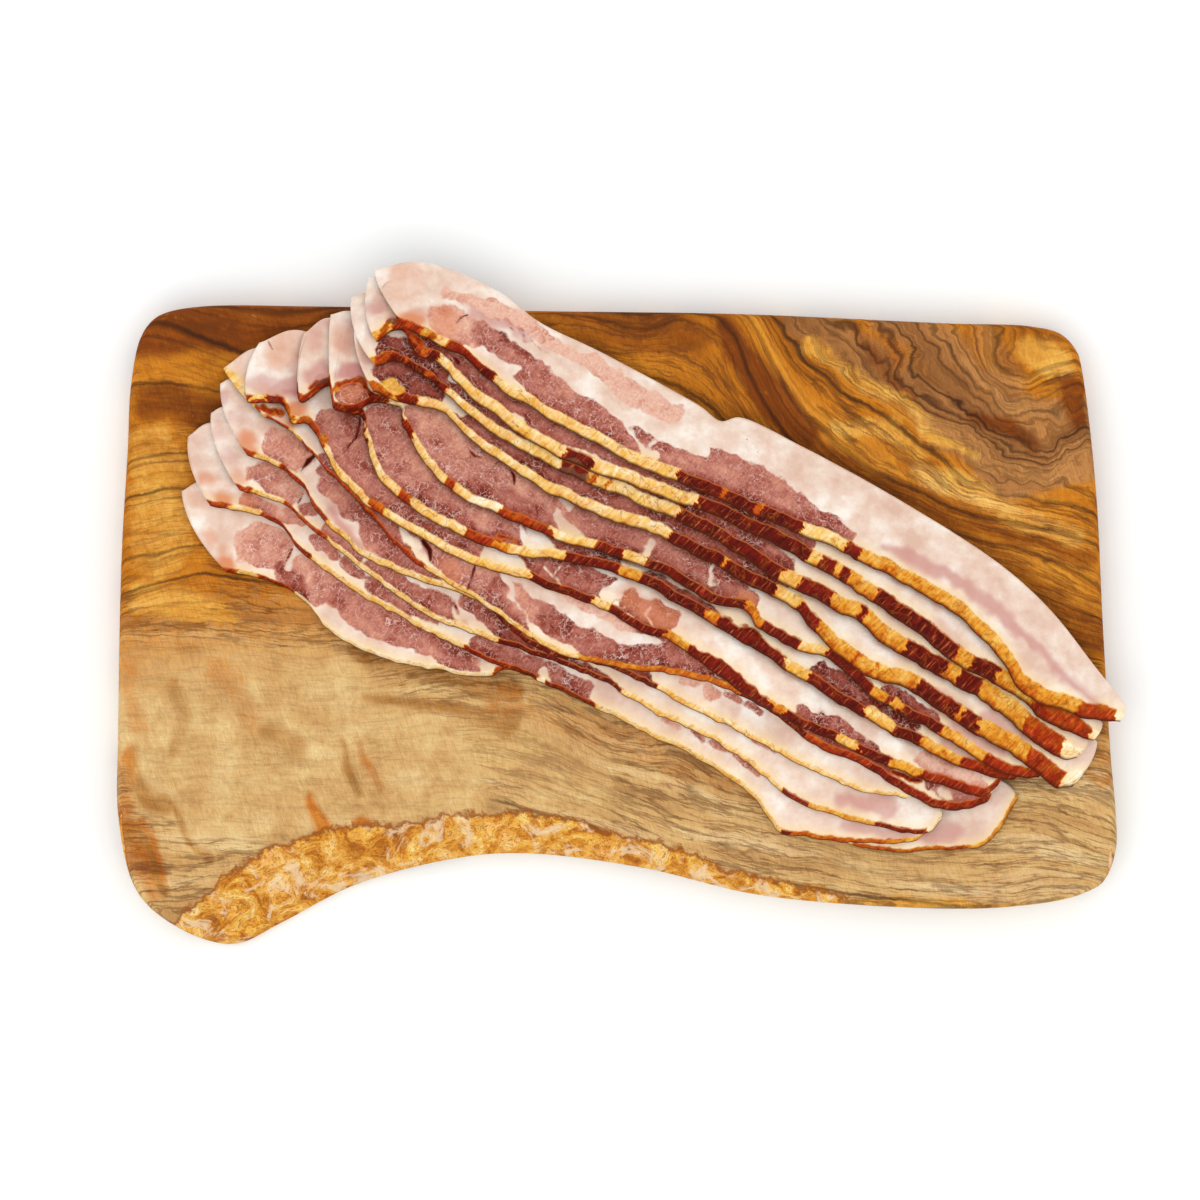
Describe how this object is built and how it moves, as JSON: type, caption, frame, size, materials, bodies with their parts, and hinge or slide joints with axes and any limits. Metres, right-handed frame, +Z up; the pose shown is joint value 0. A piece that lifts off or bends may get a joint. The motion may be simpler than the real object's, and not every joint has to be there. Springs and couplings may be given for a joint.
{
  "type": "bacon rashers",
  "caption": "Shingled pile of thick smoked bacon rashers lying across a rectangular olive-wood board with one live edge.",
  "frame": {"origin": "on the table, under the middle of the whole", "axes": "+X along the board towards the rashers' tips, +Z up, the board's live edge facing -Y"},
  "size_m": [0.324, 0.2188, 0.0445],
  "materials": {
    "olive_wood": "oiled olive wood with dark swirls, and rough bark on one edge",
    "bacon": "moist cured pork, pink lean and cream fat, with a smoked yellow-brown edge"
  },
  "bodies": {
    "root": {"board": "olive_wood", "rasher_01": "bacon", "rasher_02": "bacon", "rasher_03": "bacon", "rasher_04": "bacon", "rasher_05": "bacon", "rasher_06": "bacon", "rasher_07": "bacon", "rasher_08": "bacon", "rasher_09": "bacon", "rasher_10": "bacon", "rasher_11": "bacon", "rasher_12": "bacon"}
  },
  "joints": []
}
